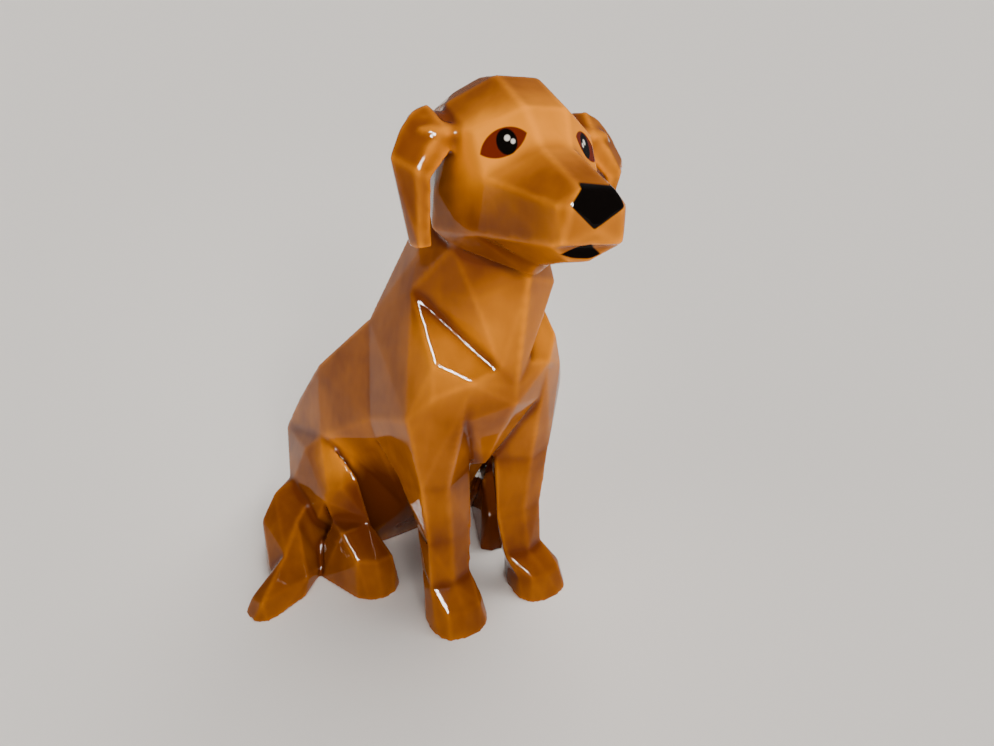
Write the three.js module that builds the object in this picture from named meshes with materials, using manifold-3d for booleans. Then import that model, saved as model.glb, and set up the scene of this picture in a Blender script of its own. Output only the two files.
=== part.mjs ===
// A sitting dog in folded-paper style, slip-cast in one piece of glazed ceramic.
// Millimetres, +Z up. The dog faces -Y, its own left side is +X, and it rests on the plane z = 0.

import * as THREE from 'three';
import { ConvexGeometry } from 'three/addons/geometries/ConvexGeometry.js';
import { mergeVertices } from 'three/addons/utils/BufferGeometryUtils.js';
import Module from 'manifold-3d';

// Driving dimensions
const figureHeight = 320;
const headTurnDegrees = -9;
const headTiltDegrees = 5.5;

// Every landmark below is [half width or x, y, z] in shares of the height: 320 of them reach the crown.

const wasm = await Module();
wasm.setup();

// The convex block with flat facets that holds all the points given.
function block(points) {
  const geometry = new ConvexGeometry(points.map(([x, y, z]) => new THREE.Vector3(x, y, z)));
  geometry.deleteAttribute('normal');
  geometry.deleteAttribute('uv');
  const merged = mergeVertices(geometry, 1e-4);
  return new wasm.Manifold(new wasm.Mesh({
    numProp: 3,
    vertProperties: Float32Array.from(merged.attributes.position.array),
    triVerts: Uint32Array.from(merged.index.array),
  }));
}

// A landmark off the middle plane stands for itself and its mirror image.
function bothSides(points) {
  return points.flatMap(([x, y, z]) => (x === 0 ? [[x, y, z]] : [[x, y, z], [-x, y, z]]));
}

function oneSide(side, points) {
  return points.map(([x, y, z]) => [side * x, y, z]);
}

function join(solids) {
  return solids.reduce((whole, solid) => whole.add(solid));
}

// One block between each outline and the next one.
function chain(outlines) {
  const blocks = [];
  for (let i = 0; i + 1 < outlines.length; i += 1) blocks.push(block([...outlines[i], ...outlines[i + 1]]));
  return join(blocks);
}

const trunk = {
  sternum: [0, -13.8, 166],
  keel: [0, -13.2, 155],
  keelMiddle: [0, 3.9, 126.7],
  keelEnd: [0, 19, 101],
  panelCorner: [25, -8.8, 172.5],
  legInner: [22, -2, 147],
  collarLow: [9, -11, 177],
  shoulderPeak: [36, 32, 214],
  shoulderFront: [39.5, 5.5, 181],
  shoulderLow: [42, 3.5, 163],
  upperArm: [52, 15, 148],
  withers: [0, 82, 186],
  backEdgeFront: [42, 76, 184],
  flankFront: [52, 63, 127],
  elbow: [50, 62, 114],
  backEdgeRear: [57, 128, 138],
  flankRear: [63, 121, 91],
  bellyEdge: [52, 98, 84],
  bellyFront: [22, 45, 92],
  bellyMiddle: [26, 78, 45],
  bellyFoot: [30, 108, 0],
  spineMiddle: [0, 150, 154],
  rumpSide: [60, 163, 101],
  rumpCorner: [65, 185, 70],
  rumpTop: [0, 182, 114],
  rumpBack: [0, 200, 68],
  rumpFloor: [44, 188, 0],
  rumpFloorFront: [52, 112, 0],
};

function trunkSolid() {
  const t = trunk;
  const chest = block(bothSides([
    t.sternum, t.keel, t.keelMiddle, t.keelEnd, t.panelCorner, t.legInner, t.collarLow, t.shoulderPeak,
    t.shoulderFront, t.shoulderLow, t.upperArm, t.withers, t.backEdgeFront, t.flankFront, t.elbow,
    t.bellyFront,
  ]));
  const flank = block(bothSides([
    t.withers, t.backEdgeFront, t.flankFront, t.elbow, t.backEdgeRear, t.flankRear, t.bellyEdge, t.spineMiddle,
    t.bellyFront, t.bellyMiddle,
  ]));
  const rump = block(bothSides([
    t.backEdgeRear, t.flankRear, t.bellyEdge, t.bellyMiddle, t.bellyFoot, t.spineMiddle, t.rumpSide,
    t.rumpCorner, t.rumpTop, t.rumpBack, t.rumpFloor, t.rumpFloorFront,
  ]));
  return join([chest, flank, rump]);
}

const neck = {
  throat: [0, -24, 229],
  collarRight: [-20, -5, 216],
  collarLeft: [24.5, -12, 219],
  jawCorner: [27, 4, 242],
  side: [30, 32, 234],
  innerFront: [20, 0, 256],
  napeTop: [15, 44, 262],
};

function neckSolid() {
  const { throat, collarRight, collarLeft, jawCorner, side, innerFront, napeTop } = neck;
  const t = trunk;
  return block([collarRight, collarLeft, ...bothSides([
    throat, jawCorner, side, innerFront, napeTop,
    t.sternum, t.collarLow, t.shoulderPeak, t.withers, t.backEdgeFront,
  ])]);
}

// Outlines of a foreleg from the floor up: paw sole, paw top, step, shin, forearm, shoulder.
const foreleg = {
  paw: [
    [[24, -5.5, 0], [36, -5.5, 0], [17, -2.5, 0], [43.5, -3, 0], [13, 3, 0], [47.5, 3, 0], [12, 9, 0], [49, 10, 0],
      [48, 20, 0], [42, 34, 0], [20, 34, 0], [14, 22, 0]],
    [[31, 0, 15], [20, 1, 15.5], [42, 3, 15], [14, 8, 14], [47, 10, 14], [46, 24, 14], [41, 34, 14], [20, 34, 14],
      [15, 22, 14]],
  ],
  leg: [
    [[28, 12, 29], [13, 17, 29], [41.5, 17, 29], [38, 34, 29], [18, 32, 29]],
    [[26.5, 15, 59], [9.5, 20.5, 57], [41, 17.5, 60], [38, 38, 60], [18, 34, 60]],
    [[29, 12, 98], [8.5, 21.5, 100], [45, 15.5, 101], [45, 43, 92], [20, 44, 92]],
    [[34.6, 2.2, 154], [25, -7, 167], [42, 3.5, 163], [52, 15, 148], [50, 13.5, 140], [50, 62, 114], [22, 60, 114]],
  ],
};
// Both fore paws lean a little to the dog's left.
const pawDrift = 3.7;

function forelegSolid(side) {
  const outlines = [
    ...foreleg.paw.map((outline) => oneSide(side, outline).map(([x, y, z]) => [x + pawDrift, y, z])),
    ...foreleg.leg.map((outline) => oneSide(side, outline)),
  ];
  return chain(outlines);
}

// Head landmarks, measured with the head straight: [half width, y, z].
const head = {
  crownFront: [10.5, -3, 319.3],
  crownRear: [11, 15, 317],
  crownCorner: [21, 22, 309],
  forehead: [10.5, -33.5, 309],
  browOuter: [30, -24.8, 296.5],
  earFront: [33, -12, 296],
  earRoot: [30, 8, 305],
  skullRear: [24, 42, 298],
  cheekTop: [28.8, -37.5, 279.7],
  cheekLow: [28.5, -29, 253],
  cheekRear: [36, 2, 266],
  jawRear: [33, 10, 246],
  jawCorner: [26, 0, 240],
  skullLow: [26, 44, 262],
  skullBase: [16, 40, 242],
  bridge: [7.5, -46, 294.7],
  noseTop: [7.8, -83, 284],
  noseSide: [12.3, -84.7, 277.5],
  noseTip: [0, -86.5, 268],
  muzzleTop: [16.5, -80, 277],
  muzzleLow: [16.5, -80, 260.5],
  lipCorner: [14.4, -84.5, 262],
  chin: [5, -76, 252.5],
  jawMiddle: [3, -46, 242.5],
  throatEnd: [2, -37, 235],
};

function skullSolid() {
  const h = head;
  const skull = block(bothSides([
    h.crownFront, h.crownRear, h.crownCorner, h.forehead, h.browOuter, h.earFront, h.earRoot, h.skullRear,
    h.cheekTop, h.cheekLow, h.cheekRear, h.jawRear, h.jawCorner, h.skullLow, h.skullBase, h.bridge,
  ]));
  const muzzle = block(bothSides([
    h.bridge, h.cheekTop, h.cheekLow, h.noseTop, h.noseSide, h.noseTip, h.muzzleTop, h.muzzleLow, h.lipCorner,
  ]));
  const jaw = block(bothSides([h.cheekLow, h.muzzleLow, h.chin, h.jawMiddle]));
  const jawRoot = block(bothSides([h.cheekLow, h.jawCorner, h.jawMiddle, h.throatEnd, h.skullLow]));
  return join([skull, muzzle, jaw, jawRoot]);
}

// An ear hangs from a fold: the fold's outline at the head, at its widest, and the tip of the flap.
const ear = {
  fold: [[38, -13, 297.5], [41, 2, 305], [49, 1, 301.5], [39, 20, 302], [30, 20, 296], [31, -12, 291]],
  shoulder: [[46, -17, 289], [55, -2, 294.5], [48, 17, 291], [39, 17, 284], [38, -16, 284]],
  widest: [[52.5, -20, 279], [61, -7.6, 283], [54, 14, 278], [47, 14, 274], [46, -20, 276]],
  tip: [[48, -15.5, 243], [49, -5, 241], [48, 4, 246], [42, 4, 247], [42, -15, 244]],
};

function earSolid(side) {
  return chain([ear.fold, ear.shoulder, ear.widest, ear.tip].map((outline) => oneSide(side, outline)));
}

const headPivot = { straight: [0, 15, 250], placed: [2, 15, 250] };

function headSolid() {
  const straight = join([skullSolid(), earSolid(1), earSolid(-1)]);
  const back = headPivot.straight.map((value) => -value);
  return straight.translate(back).rotate([0, headTiltDegrees, 0]).rotate([0, 0, headTurnDegrees])
    .translate(headPivot.placed);
}

// Haunch, shin and hind foot of one side.
const haunch = [
  [62, 126, 84.5], [69, 125, 76], [70, 135, 77], [58, 101, 84], [54, 89, 75], [70, 98, 65], [64, 91, 68],
  [79, 150, 41], [79, 146, 26], [73, 98, 57], [70, 170, 50], [65, 185, 70], [63, 121, 91], [74, 140, 0], [73, 160, 0],
  [58, 185, 0], [44, 188, 0], [50, 120, 0], [50, 100, 40],
];
const shin = [
  [54, 89, 75], [70, 98, 65], [64, 91, 68], [73, 98, 57], [69, 96, 38], [53, 74, 48], [64, 110, 20], [45, 95, 30],
];
const hindFoot = {
  front: [[41, 61, 0], [48, 55, 0], [57, 54, 0], [65, 57, 0], [71, 63, 0], [46, 58, 28], [58, 57, 28], [69.5, 62, 31],
    [53, 76, 46], [72, 77, 44]],
  heel: [[82, 96, 0], [76, 120, 0], [44, 110, 0], [70, 96, 42], [50, 96, 40]],
};
// The left hind foot points inwards, by this much at its front.
const leftFootTurnIn = 19;

function hindLegSolid(side) {
  const turnIn = side > 0 ? leftFootTurnIn : 0;
  const foot = [...hindFoot.front.map(([x, y, z]) => [x - turnIn, y, z]), ...hindFoot.heel];
  return join([haunch, shin, foot].map((points) => block(oneSide(side, points))));
}

// The tail sweeps from under the rump out to the dog's right and forward along the floor.
const tail = [
  [[-30, 190, 0], [-30, 190, 50], [-40, 150, 0], [-40, 150, 60]],
  [[-86, 97, 0], [-106, 138, 0], [-104, 140, 30], [-88, 114, 38], [-78, 150, 46], [-92, 145, 44], [-70, 110, 0]],
  [[-98, 84, 0], [-113, 109, 0], [-112, 107, 10], [-103, 99, 27], [-94, 86, 12]],
  [[-126, 75, 0], [-134, 80, 0], [-135, 92, 0], [-130, 92, 9], [-127, 79, 13], [-120, 76, 0]],
];

function toMesh(solid, name, material) {
  const { vertProperties, triVerts } = solid.getMesh();
  const geometry = new THREE.BufferGeometry();
  geometry.setAttribute('position', new THREE.BufferAttribute(Float32Array.from(vertProperties), 3));
  geometry.setIndex(new THREE.BufferAttribute(Uint32Array.from(triVerts), 1));
  geometry.computeVertexNormals();
  const mesh = new THREE.Mesh(geometry, material);
  mesh.name = name;
  return mesh;
}

const amberGlaze = new THREE.MeshStandardMaterial({ color: 0xb8650f, roughness: 0.12, metalness: 0 });

const figure = join([
  trunkSolid(), neckSolid(), headSolid(), forelegSolid(1), forelegSolid(-1),
  hindLegSolid(1), hindLegSolid(-1), chain(tail),
]);

// Full height as stated, with the origin under the middle of the figure's box.
function placed(solid) {
  const { min, max } = solid.boundingBox();
  const scale = figureHeight / (max[2] - min[2]);
  return solid.translate([-(min[0] + max[0]) / 2, -(min[1] + max[1]) / 2, -min[2]]).scale([scale, scale, scale]);
}

const dog = new THREE.Group();
dog.add(toMesh(placed(figure), 'dog_figure', amberGlaze));

export default dog;
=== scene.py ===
# A sitting dog in folded-paper style: one slip-cast piece under amber glaze, on a plain pale floor.
import math
import bmesh
import bpy
import numpy as np
from mathutils import Matrix, Vector


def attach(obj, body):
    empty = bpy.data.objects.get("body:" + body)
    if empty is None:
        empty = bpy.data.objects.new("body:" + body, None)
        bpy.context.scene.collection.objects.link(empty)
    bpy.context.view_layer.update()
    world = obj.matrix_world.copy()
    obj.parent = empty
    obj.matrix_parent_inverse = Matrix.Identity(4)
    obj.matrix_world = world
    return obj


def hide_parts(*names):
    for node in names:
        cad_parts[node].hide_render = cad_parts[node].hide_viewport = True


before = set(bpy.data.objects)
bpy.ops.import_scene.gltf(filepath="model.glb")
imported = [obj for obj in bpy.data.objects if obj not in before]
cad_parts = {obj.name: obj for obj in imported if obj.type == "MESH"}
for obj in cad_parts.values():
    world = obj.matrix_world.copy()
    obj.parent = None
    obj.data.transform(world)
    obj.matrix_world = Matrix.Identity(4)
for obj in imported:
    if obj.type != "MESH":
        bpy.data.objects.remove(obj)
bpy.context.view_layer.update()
print("frame loaded")


# sRGB hex to the linear values that shaders work in
def linear(hexColour):
    parts = [int(hexColour[i:i + 2], 16) / 255 for i in (1, 3, 5)]
    return [c / 12.92 if c <= 0.04045 else ((c + 0.055) / 1.055) ** 2.4 for c in parts] + [1.0]


# One node with its settings; an input is given a value, or another node's output to link from
def addNode(tree, kind, inputs=None, **settings):
    node = tree.nodes.new(kind)
    for name, value in settings.items():
        setattr(node, name, value)
    for key, value in (inputs or {}).items():
        if isinstance(value, bpy.types.NodeSocket):
            tree.links.new(value, node.inputs[key])
        else:
            node.inputs[key].default_value = value
    return node


def addObject(name, data):
    thing = bpy.data.objects.new(name, data)
    bpy.context.collection.objects.link(thing)
    return thing


# The mesh that an object's modifiers make of it; the object itself goes
def finishedMesh(thing):
    mesh = bpy.data.meshes.new_from_object(thing.evaluated_get(bpy.context.evaluated_depsgraph_get()))
    bpy.data.objects.remove(thing)
    return mesh


# Camera, fitted to the photograph: where it stands (m), heading from +Y, pitch down and roll (degrees)
camera = {"place": (-0.1882, -0.3758, 0.353), "heading": 33.5, "pitch": 25.65, "roll": -0.25, "lens": 28.61}


def makeCamera(c):
    data = bpy.data.cameras.new("camera")
    data.sensor_width = 36
    data.lens = c["lens"]
    data.clip_start, data.clip_end = 0.01, 200
    cam = addObject("camera", data)
    turn = (Matrix.Rotation(math.radians(-c["heading"]), 4, "Z")
            @ Matrix.Rotation(math.radians(90 - c["pitch"]), 4, "X")
            @ Matrix.Rotation(math.radians(c["roll"]), 4, "Z"))
    cam.matrix_world = Matrix.Translation(c["place"]) @ turn
    bpy.context.scene.camera = cam


makeCamera(camera)
print("camera placed")

# Where the head sits on the neck, turned and tilted about its pivot (mm); marks on it are stated with it straight
headPose = {"turn": -9, "tilt": 5.5, "straight": (0, 15, 250), "placed": (28.5, -42.1, 250)}


def headMatrix(h):
    turn = Matrix.Rotation(math.radians(h["turn"]), 4, "Z") @ Matrix.Rotation(math.radians(h["tilt"]), 4, "Y")
    return Matrix.Translation(h["placed"]) @ turn @ Matrix.Translation([-v for v in h["straight"]])


# Where each ear grows out of the skull the slip has filled the fold: low swellings, middle and radii,
# mm on the straight head, for the right ear and mirrored for the left one
earRoot = {
    "swellings": [((-37.8, -7.4, 294.1), (12, 7.5, 4.5)), ((-37.4, 7.9, 296.1), (11, 13, 6))],
    "around": 28, "along": 15,      # faces round each swelling and from pole to pole
}


# surface = middle + radii * (sin(v) cos(u), sin(v) sin(u), cos(v)), u once round and v from pole to pole
def makeEarRoots(r, h):
    u = np.arange(r["around"]) * 2 * np.pi / r["around"]
    v = np.linspace(0, np.pi, r["along"])[:, None]
    shell = np.stack([np.sin(v) * np.cos(u), np.sin(v) * np.sin(u), np.cos(v) + 0 * u], axis=-1).reshape(-1, 3)
    ring, step = np.meshgrid(np.arange(r["along"] - 1), np.arange(r["around"]), indexing="ij")
    near, far = ring * r["around"], (ring + 1) * r["around"]
    nextStep = (step + 1) % r["around"]
    quads = np.stack([near + step, far + step, far + nextStep, near + nextStep], axis=-1).reshape(-1, 4)
    points = np.concatenate([shell * radii + np.array(middle) * (side, 1, 1)
                             for middle, radii in r["swellings"] for side in (1, -1)])
    quads = np.concatenate([quads + first for first in range(0, len(points), len(shell))])
    place = np.array(headMatrix(h))
    points = (points @ place[:3, :3].T + place[:3, 3]) / 1000
    mesh = bpy.data.meshes.new("earRoots")
    mesh.from_pydata(points.tolist(), [], quads.tolist())
    return mesh


# The cast body: the solid's own form, with its edges rounded as slip and glaze round them
casting = {
    "weld": 0.00002,       # points nearer than this are one, m
    "voxel": 0.0013,       # spacing of the fine surface, m
    "kept": 0.57,          # share of its triangles that is kept
    "softening": 3,        # rounds of smoothing that round every fold
    "rimSpread": 1,        # how far the thin glaze reaches from a raised fold, in rounds
    "poolSpread": 14,      # how far the pooled glaze reaches from a hollow fold, in rounds
    "rimThinning": 2.3,    # how much of the glaze runs off a raised fold at the crown; half of it at the floor
    "pooling": 5.0,        # how much gathers in a hollow one
    "height": 0.32,        # from the floor to the crown, m
    "crown": 0.64,         # thickness at the crown and at the floor, 0 thin to 1 pooled
    "floor": 0.71,
    "upFacingDarkening": 0.14,      # how much darker the facets that face up are made
    # patches of painted light and shade in the glaze: a negative change thins it into a painted highlight, a positive
    # one thickens it into painted shade; middle (mm), reach (mm), change of thickness
    "paintedLightAndShade": [
        # painted highlights on the breast, throat, forehead, brows, muzzle front, right cheek and right knee; painted
        # shade on the muzzle bridge, ears, neck, belly, left hind foot, jaw and between the forelegs
        ((-7, -55, 188), 26, -0.50), ((60, -55, 188), 26, -0.46),      # breast facets
        ((12, -78, 210), 24, -0.32),                                   # throat
        ((25, -99, 300), 22, -0.50),                                   # forehead
        ((-1, -82, 295), 18, -0.92), ((52, -90, 289), 18, -0.80),      # brows
        ((14, -141, 264), 14, -0.12),                                  # front of the muzzle
        ((20, -118, 289), 18, 0.14),                                   # bridge of the muzzle
        ((-28, -54, 268), 24, 0.22), ((82, -72, 262), 24, 0.16),       # ears
        ((-20, -57, 298), 20, 0.12),                                   # fold of the right ear
        ((-7, -67, 269), 16, -0.12),                                   # right cheek
        ((-2, -42, 214), 24, 0.28),                                    # right side of the neck
        ((-32, 47, 80), 18, -0.65),                                    # top of the right knee
        ((0, 25, 52), 36, 0.70),                                       # belly
        ((52, 6, 20), 30, 0.75),                                       # inside of the left hind foot
        ((8, -84, 245), 26, 0.38),                                     # under the jaw
        ((14, -64, 150), 20, 0.20), ((28, -22, 105), 15, 0.55),        # between the forelegs
    ],
}


# mean of each vertex's neighbours, for any array of per-vertex values
def neighbourMean(values, ends, count):
    a, b = ends[:, 0], ends[:, 1]
    degree = np.bincount(a, minlength=count) + np.bincount(b, minlength=count)
    columns = values.reshape(count, -1)
    total = np.stack([np.bincount(a, columns[:, i][b], count) + np.bincount(b, columns[:, i][a], count)
                      for i in range(columns.shape[1])], axis=1)
    return (total / np.maximum(degree, 1)[:, None]).reshape(values.shape)


# each round takes every value half way to its neighbours' mean
def spread(values, ends, rounds):
    for _ in range(rounds):
        values = 0.5 * values + 0.5 * neighbourMean(values, ends, len(values))
    return values


# thickness = height term + darker where it faces up + gathered in hollows - run off raised folds,
# less so low down + each patch of painted highlight and painted shade: its change * exp(-(distance / reach)^2)
def glazeThicknessAndShade(points, normals, rim, pool, c):
    share = np.clip(points[:, 2] / c["height"], 0, 1)
    thicknessAndShade = c["floor"] + (c["crown"] - c["floor"]) * share
    thicknessAndShade = thicknessAndShade + c["upFacingDarkening"] * normals[:, 2] + c["pooling"] * pool
    thicknessAndShade = thicknessAndShade - c["rimThinning"] * (0.5 + 0.5 * share) * rim
    for middle, reach, change in c["paintedLightAndShade"]:
        away = np.linalg.norm(points * 1000 - np.array(middle), axis=1) / reach
        thicknessAndShade = thicknessAndShade + change * np.exp(-away * away)
    return thicknessAndShade


def makeCasting(nodeName, c):
    # a merged copy of the solid and the ear roots, remade as one even fine skin
    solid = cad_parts[nodeName]
    mesh = solid.data.copy()
    mesh.transform(solid.matrix_world)
    joined = bmesh.new()
    joined.from_mesh(mesh)
    joined.from_mesh(makeEarRoots(earRoot, headPose))
    joined.to_mesh(mesh)
    joined.free()
    rough = addObject("rough", mesh)
    weld = rough.modifiers.new("weld", "WELD")
    weld.merge_threshold = c["weld"]
    skin = rough.modifiers.new("skin", "REMESH")
    skin.mode = "VOXEL"
    skin.voxel_size = c["voxel"]
    skin.adaptivity = 0
    fine = finishedMesh(rough)
    # flat facets stay flat when a vertex moves to its neighbours' mean, and folds become round
    count = len(fine.vertices)
    points = np.empty(count * 3)
    fine.vertices.foreach_get("co", points)
    points = points.reshape(-1, 3)
    ends = np.empty(len(fine.edges) * 2, dtype=np.int64)
    fine.edges.foreach_get("vertices", ends)
    ends = ends.reshape(-1, 2)
    points = spread(points, ends, c["softening"])
    points[:, 2] = np.maximum(points[:, 2], 0)
    fine.vertices.foreach_set("co", points.ravel())
    fine.update()
    # bulge = 2 * (vertex - neighbours' mean) along the normal / spacing^2, per mm: plus on raised folds
    normals = np.empty(count * 3)
    fine.vertex_normals.foreach_get("vector", normals)
    normals = normals.reshape(-1, 3)
    offset = points - neighbourMean(points, ends, count)
    length = np.linalg.norm(points[ends[:, 0]] - points[ends[:, 1]], axis=1).mean()
    bulge = (offset * normals).sum(axis=1) / (length * length) / 1000 * 2
    rim = spread(np.maximum(bulge, 0), ends, c["rimSpread"])
    pool = spread(np.maximum(-bulge, 0), ends, c["poolSpread"])
    # the glaze thickness, with the painted highlights and painted shade in it
    attribute = fine.attributes.new("thicknessAndShade", "FLOAT", "POINT")
    attribute.data.foreach_set("value", glazeThicknessAndShade(points, normals, rim, pool, c).astype(np.float32))
    # the flats need fewer triangles than the folds
    full = addObject("full", fine)
    full.modifiers.new("thin", "DECIMATE").ratio = c["kept"]
    light = finishedMesh(full)
    light.shade_smooth()
    print("casting:", sum(len(f.vertices) - 2 for f in light.polygons), "triangles, from", count, "points")
    return addObject("glazed_dog", light)


# Coordinates in mm on a plane of the head: x along it, y up it, z out of it; a negative flip mirrors x
def headPlane(tree, source, middle, along, facing, flip=1):
    toPart = headMatrix(headPose)
    z = (toPart.to_3x3() @ Vector(facing)).normalized()
    x = toPart.to_3x3() @ Vector(along)
    x = (x - z * x.dot(z)).normalized()
    basis = Matrix((x, z.cross(x), z)).transposed()
    return addNode(tree, "ShaderNodeMapping", {
        "Vector": source, "Location": (toPart @ Vector(middle)) / 1000, "Rotation": basis.to_euler("XYZ"),
        "Scale": (0.001 * flip, 0.001, 0.001)}, vector_type="TEXTURE").outputs[0]


# How far a point is outside an oval, mm: (length((p - middle) / radii) - 1) * smaller radius, whatever its z
def ovalReach(tree, place, middle, radii):
    moved = addNode(tree, "ShaderNodeMapping", {
        "Vector": place, "Location": (*middle, 0), "Scale": (*radii, 1e6)}, vector_type="TEXTURE").outputs[0]
    away = addNode(tree, "ShaderNodeVectorMath", {0: moved}, operation="LENGTH").outputs["Value"]
    return addNode(tree, "ShaderNodeMath", {
        0: away, 1: min(radii), 2: -min(radii)}, operation="MULTIPLY_ADD").outputs[0]


# How far a point is outside a straight-sided mark, mm: the largest of its distances past each side
def cornersReach(tree, place, corners, rounding):
    reach = None
    for (x0, y0), (x1, y1) in zip(corners, corners[1:] + corners[:1]):
        length = math.hypot(x1 - x0, y1 - y0)
        out = ((y1 - y0) / length, -(x1 - x0) / length, 0)
        along = addNode(tree, "ShaderNodeVectorMath", {0: place, 1: out}, operation="DOT_PRODUCT").outputs["Value"]
        past = addNode(tree, "ShaderNodeMath", {
            0: along, 1: out[0] * x0 + out[1] * y0}, operation="SUBTRACT").outputs[0]
        reach = past if reach is None else addNode(tree, "ShaderNodeMath", {
            0: reach, 1: past, 2: rounding}, operation="SMOOTH_MAX").outputs[0]
    return reach


# One mark over the colour under it, with a soft brush edge; it doesn't go deeper than its depth, in mm, off its
# plane, where another side of the head begins. Gives the new colour and the mark's own mask.
def paintMark(tree, under, place, reach, colour, depth, edge):
    inside = addNode(tree, "ShaderNodeMapRange", {
        "Value": reach, "From Min": edge, "From Max": -edge}, interpolation_type="SMOOTHSTEP").outputs[0]
    out = addNode(tree, "ShaderNodeSeparateXYZ", {0: place}).outputs["Z"]
    near = addNode(tree, "ShaderNodeMath", {0: out, 1: 0.0, 2: depth}, operation="COMPARE").outputs[0]
    mask = addNode(tree, "ShaderNodeMath", {0: inside, 1: near}, operation="MULTIPLY").outputs[0]
    over = addNode(tree, "ShaderNodeMix", {"Factor": mask, 6: under, 7: linear(colour)}, data_type="RGBA")
    return over.outputs[2], mask


# Painted eyes: an almond between two arcs, an oval pupil and two dots of light, mm on the facet under the brow
eyes = {
    "right": {"middle": (-19.4, -36.0, 294.0), "along": (17.3, -8.7, 9.7), "facing": (-0.59, -0.66, 0.46), "flip": 1},
    "left": {"middle": (21.4, -35.0, 293.0), "along": (17.3, 8.7, -9.7), "facing": (0.59, -0.66, 0.46), "flip": -1},
    "arcs": (((-0.6, -4.8), 12.0), ((-1.2, 7.5), 13.2)),                # middle and radius
    "pupil": ((0.8, 0.4), (4.5, 6.1)),                                  # middle and radii
    "dots": (((1.5, 1.9), (1.25, 1.35)), ((3.4, -0.5), (0.95, 1.1))),
    "depth": 7.0, "edge": 0.35,
    "iris": "#5E1C08", "black": "#080504", "light": "#D9D0C4",
}

# Painted nose and mouth: corners in mm seen from the front of the head, anticlockwise
snout = {
    "middle": (0, -84, 270), "along": (1, 0, 0), "facing": (0, -1, 0), "depth": 9.0, "edge": 0.35, "rounding": 1.5,
    "nose": [(-12.4, 7.6), (-1.6, -1.4), (12.8, 7.2), (9.4, 14.8), (-6.4, 15.6)],
    "mouth": [(-11.0, -13.4), (-3.8, -15.6), (4.6, -15.9), (8.6, -13.8), (-1.0, -7.4)],
    "black": "#080504",
    "mouthDulling": 0.45,   # taken off the specular level, so that the mouth mirrors little of the floor
}

glaze = {
    "thin": "#F08E0C",      # where it has run off a raised fold
    "body": "#A05A12",      # full thickness on a facet
    "thick": "#4A1608",     # pooled in a hollow fold
    "roughness": 0.05,
    "index": 1.18,          # low, so that only facets seen edge on turn grey
    # uneven flow: clouds of about 30 mm, and streaks of about 8 mm drawn out downwards, in thickness
    "cloudScale": 32.0, "cloud": 0.5,
    "streakScale": 120.0, "streakDraw": 0.35, "streak": 0.16,
    "evenFlow": 0.33,       # mean of the clouds and streaks together, taken off again
    # the skin is not quite even: swells of about 15 mm, a tenth of a mm high
    "swellScale": 60.0, "swellStrength": 0.5, "swellHeight": 0.0002,
}


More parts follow.
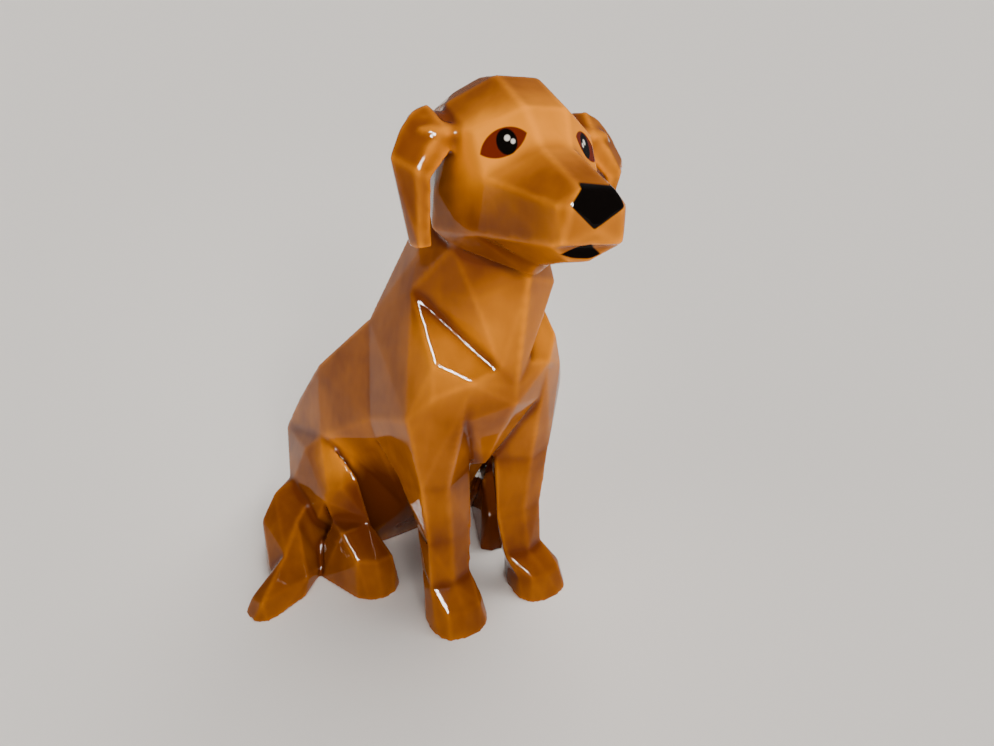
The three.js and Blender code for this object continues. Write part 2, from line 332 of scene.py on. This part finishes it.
# Earthenware, slip-cast and dipped in clear amber glaze: glassy smooth, yellow where the glaze is thin on the raised
# folds, brown on the facets and dark red-brown where it pooled, with painted highlights and painted shade in it as
# lighter and darker glaze, and the face brushed on under the gloss
def glazedEarthenware(name, g, e, s):
    material = bpy.data.materials.new(name)
    material.use_nodes = True
    tree = material.node_tree
    tree.nodes.clear()
    place = addNode(tree, "ShaderNodeTexCoord").outputs["Object"]
    # glaze thickness from the casting, with its painted highlights and painted shade
    thicknessAndShade = addNode(tree, "ShaderNodeAttribute", attribute_name="thicknessAndShade").outputs["Fac"]
    cloud = addNode(tree, "ShaderNodeTexNoise", {
        "Vector": place, "Scale": g["cloudScale"], "Detail": 2.0}).outputs["Fac"]
    drawn = addNode(tree, "ShaderNodeMapping", {"Vector": place, "Scale": (1.0, 1.0, g["streakDraw"])}).outputs[0]
    streak = addNode(tree, "ShaderNodeTexNoise", {
        "Vector": drawn, "Scale": g["streakScale"], "Detail": 3.0}).outputs["Fac"]
    clouded = addNode(tree, "ShaderNodeMath", {
        0: cloud, 1: g["cloud"], 2: thicknessAndShade}, operation="MULTIPLY_ADD").outputs[0]
    streaked = addNode(tree, "ShaderNodeMath", {
        0: streak, 1: g["streak"], 2: clouded}, operation="MULTIPLY_ADD").outputs[0]
    flow = addNode(tree, "ShaderNodeMath", {0: streaked, 1: g["evenFlow"]}, operation="SUBTRACT").outputs[0]
    ramp = addNode(tree, "ShaderNodeValToRGB", {0: flow})
    ramp.color_ramp.interpolation = "B_SPLINE"
    ramp.color_ramp.elements.new(0.5)
    for element, stage in zip(ramp.color_ramp.elements, ("thin", "body", "thick")):
        element.color = linear(g[stage])
    colour = ramp.outputs["Color"]
    for side in ("right", "left"):
        at = e[side]
        flat = headPlane(tree, place, at["middle"], at["along"], at["facing"], at["flip"])
        lid, lower = [ovalReach(tree, flat, middle, (radius, radius)) for middle, radius in e["arcs"]]
        almond = addNode(tree, "ShaderNodeMath", {0: lid, 1: lower}, operation="MAXIMUM").outputs[0]
        dots = [(ovalReach(tree, flat, *dot), e["light"]) for dot in e["dots"]]
        for reach, paint in [(almond, e["iris"]), (ovalReach(tree, flat, *e["pupil"]), e["black"]), *dots]:
            colour, inside = paintMark(tree, colour, flat, reach, paint, e["depth"], e["edge"])
    front = headPlane(tree, place, s["middle"], s["along"], s["facing"])
    for mark in ("nose", "mouth"):
        reach = cornersReach(tree, front, s[mark], s["rounding"])
        colour, inside = paintMark(tree, colour, front, reach, s["black"], s["depth"], s["edge"])
    mirror = addNode(tree, "ShaderNodeMath", {      # inside is the mask of the last mark, the mouth
        0: inside, 1: -s["mouthDulling"], 2: 0.5}, operation="MULTIPLY_ADD").outputs[0]
    swell = addNode(tree, "ShaderNodeTexNoise", {
        "Vector": place, "Scale": g["swellScale"], "Detail": 1.0}).outputs["Fac"]
    skin = addNode(tree, "ShaderNodeBump", {
        "Height": swell, "Strength": g["swellStrength"], "Distance": g["swellHeight"]}).outputs[0]
    shader = addNode(tree, "ShaderNodeBsdfPrincipled", {
        "Base Color": colour, "Roughness": g["roughness"], "IOR": g["index"], "Specular IOR Level": mirror,
        "Normal": skin})
    addNode(tree, "ShaderNodeOutputMaterial", {"Surface": shader.outputs[0]})
    return material


dog = makeCasting("dog_figure", casting)
dog.data.materials.clear()
dog.data.materials.append(glazedEarthenware("glazedEarthenwareAmber", glaze, eyes, snout))
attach(dog, "root")
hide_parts("dog_figure")
print("dog glazed and painted")

# Floor and light
studio = {
    "floor": "#E7E0D8", "floorRadius": 120, "room": "#C9CDD2", "roomStrength": 0.27,
    # soft lamps: where each shines from, its strength, how wide it looks in degrees, whether it shows in the glaze
    "suns": {"front": ((-0.24, -0.91, 0.34), 1.1, 40, False), "side": ((-0.9, -0.15, 0.35), 0.7, 50, False),
             "ceiling": ((0.30, -0.10, 0.95), 3.0, 42, False),
             "windowRight": ((-0.329, -0.739, 0.588), 25.0, 16, True),
             "windowLeft": ((-0.465, -0.517, 0.719), 14.6, 12, True)},
    # a soft spot on the head and chest: where it stands and aims (m), its power, cone in degrees and size in m
    "spot": ((-0.27, -1.15, 0.68), (0.02, -0.09, 0.27), 42.0, 24, 0.12),
}


# A lamp either lights the room softly or is only the bright patch that the glaze mirrors
def addLamp(data, aim, place, shows):
    lamp = addObject(data.name, data)
    lamp.location = place
    lamp.rotation_euler = aim.to_track_quat("-Z", "Y").to_euler()
    lamp.visible_glossy = shows
    lamp.visible_diffuse = not shows


def makeStudio(s):
    bpy.ops.mesh.primitive_circle_add(vertices=96, radius=s["floorRadius"], fill_type="NGON")
    floor = bpy.context.object
    floor.name = "floor"
    paint = bpy.data.materials.new("paleFloorPaint")    # matt paint, which mirrors nothing
    paint.use_nodes = True
    shader = paint.node_tree.nodes["Principled BSDF"]
    shader.inputs["Base Color"].default_value = linear(s["floor"])
    shader.inputs["Specular IOR Level"].default_value = 0
    floor.data.materials.append(paint)
    world = bpy.data.worlds.new("room")
    world.use_nodes = True
    background = world.node_tree.nodes["Background"]
    background.inputs["Color"].default_value = linear(s["room"])
    background.inputs["Strength"].default_value = s["roomStrength"]
    bpy.context.scene.world = world
    for name, (place, strength, width, shows) in s["suns"].items():
        data = bpy.data.lights.new(name, "SUN")
        data.energy = strength
        data.angle = math.radians(width)
        addLamp(data, -Vector(place), (0, 0, 1), shows)
    place, target, power, cone, size = s["spot"]
    data = bpy.data.lights.new("spot", "SPOT")
    data.energy = power
    data.spot_size = math.radians(cone)
    data.spot_blend = 1
    data.shadow_soft_size = size
    addLamp(data, Vector(target) - Vector(place), place, False)


makeStudio(studio)
print("floor and light made")
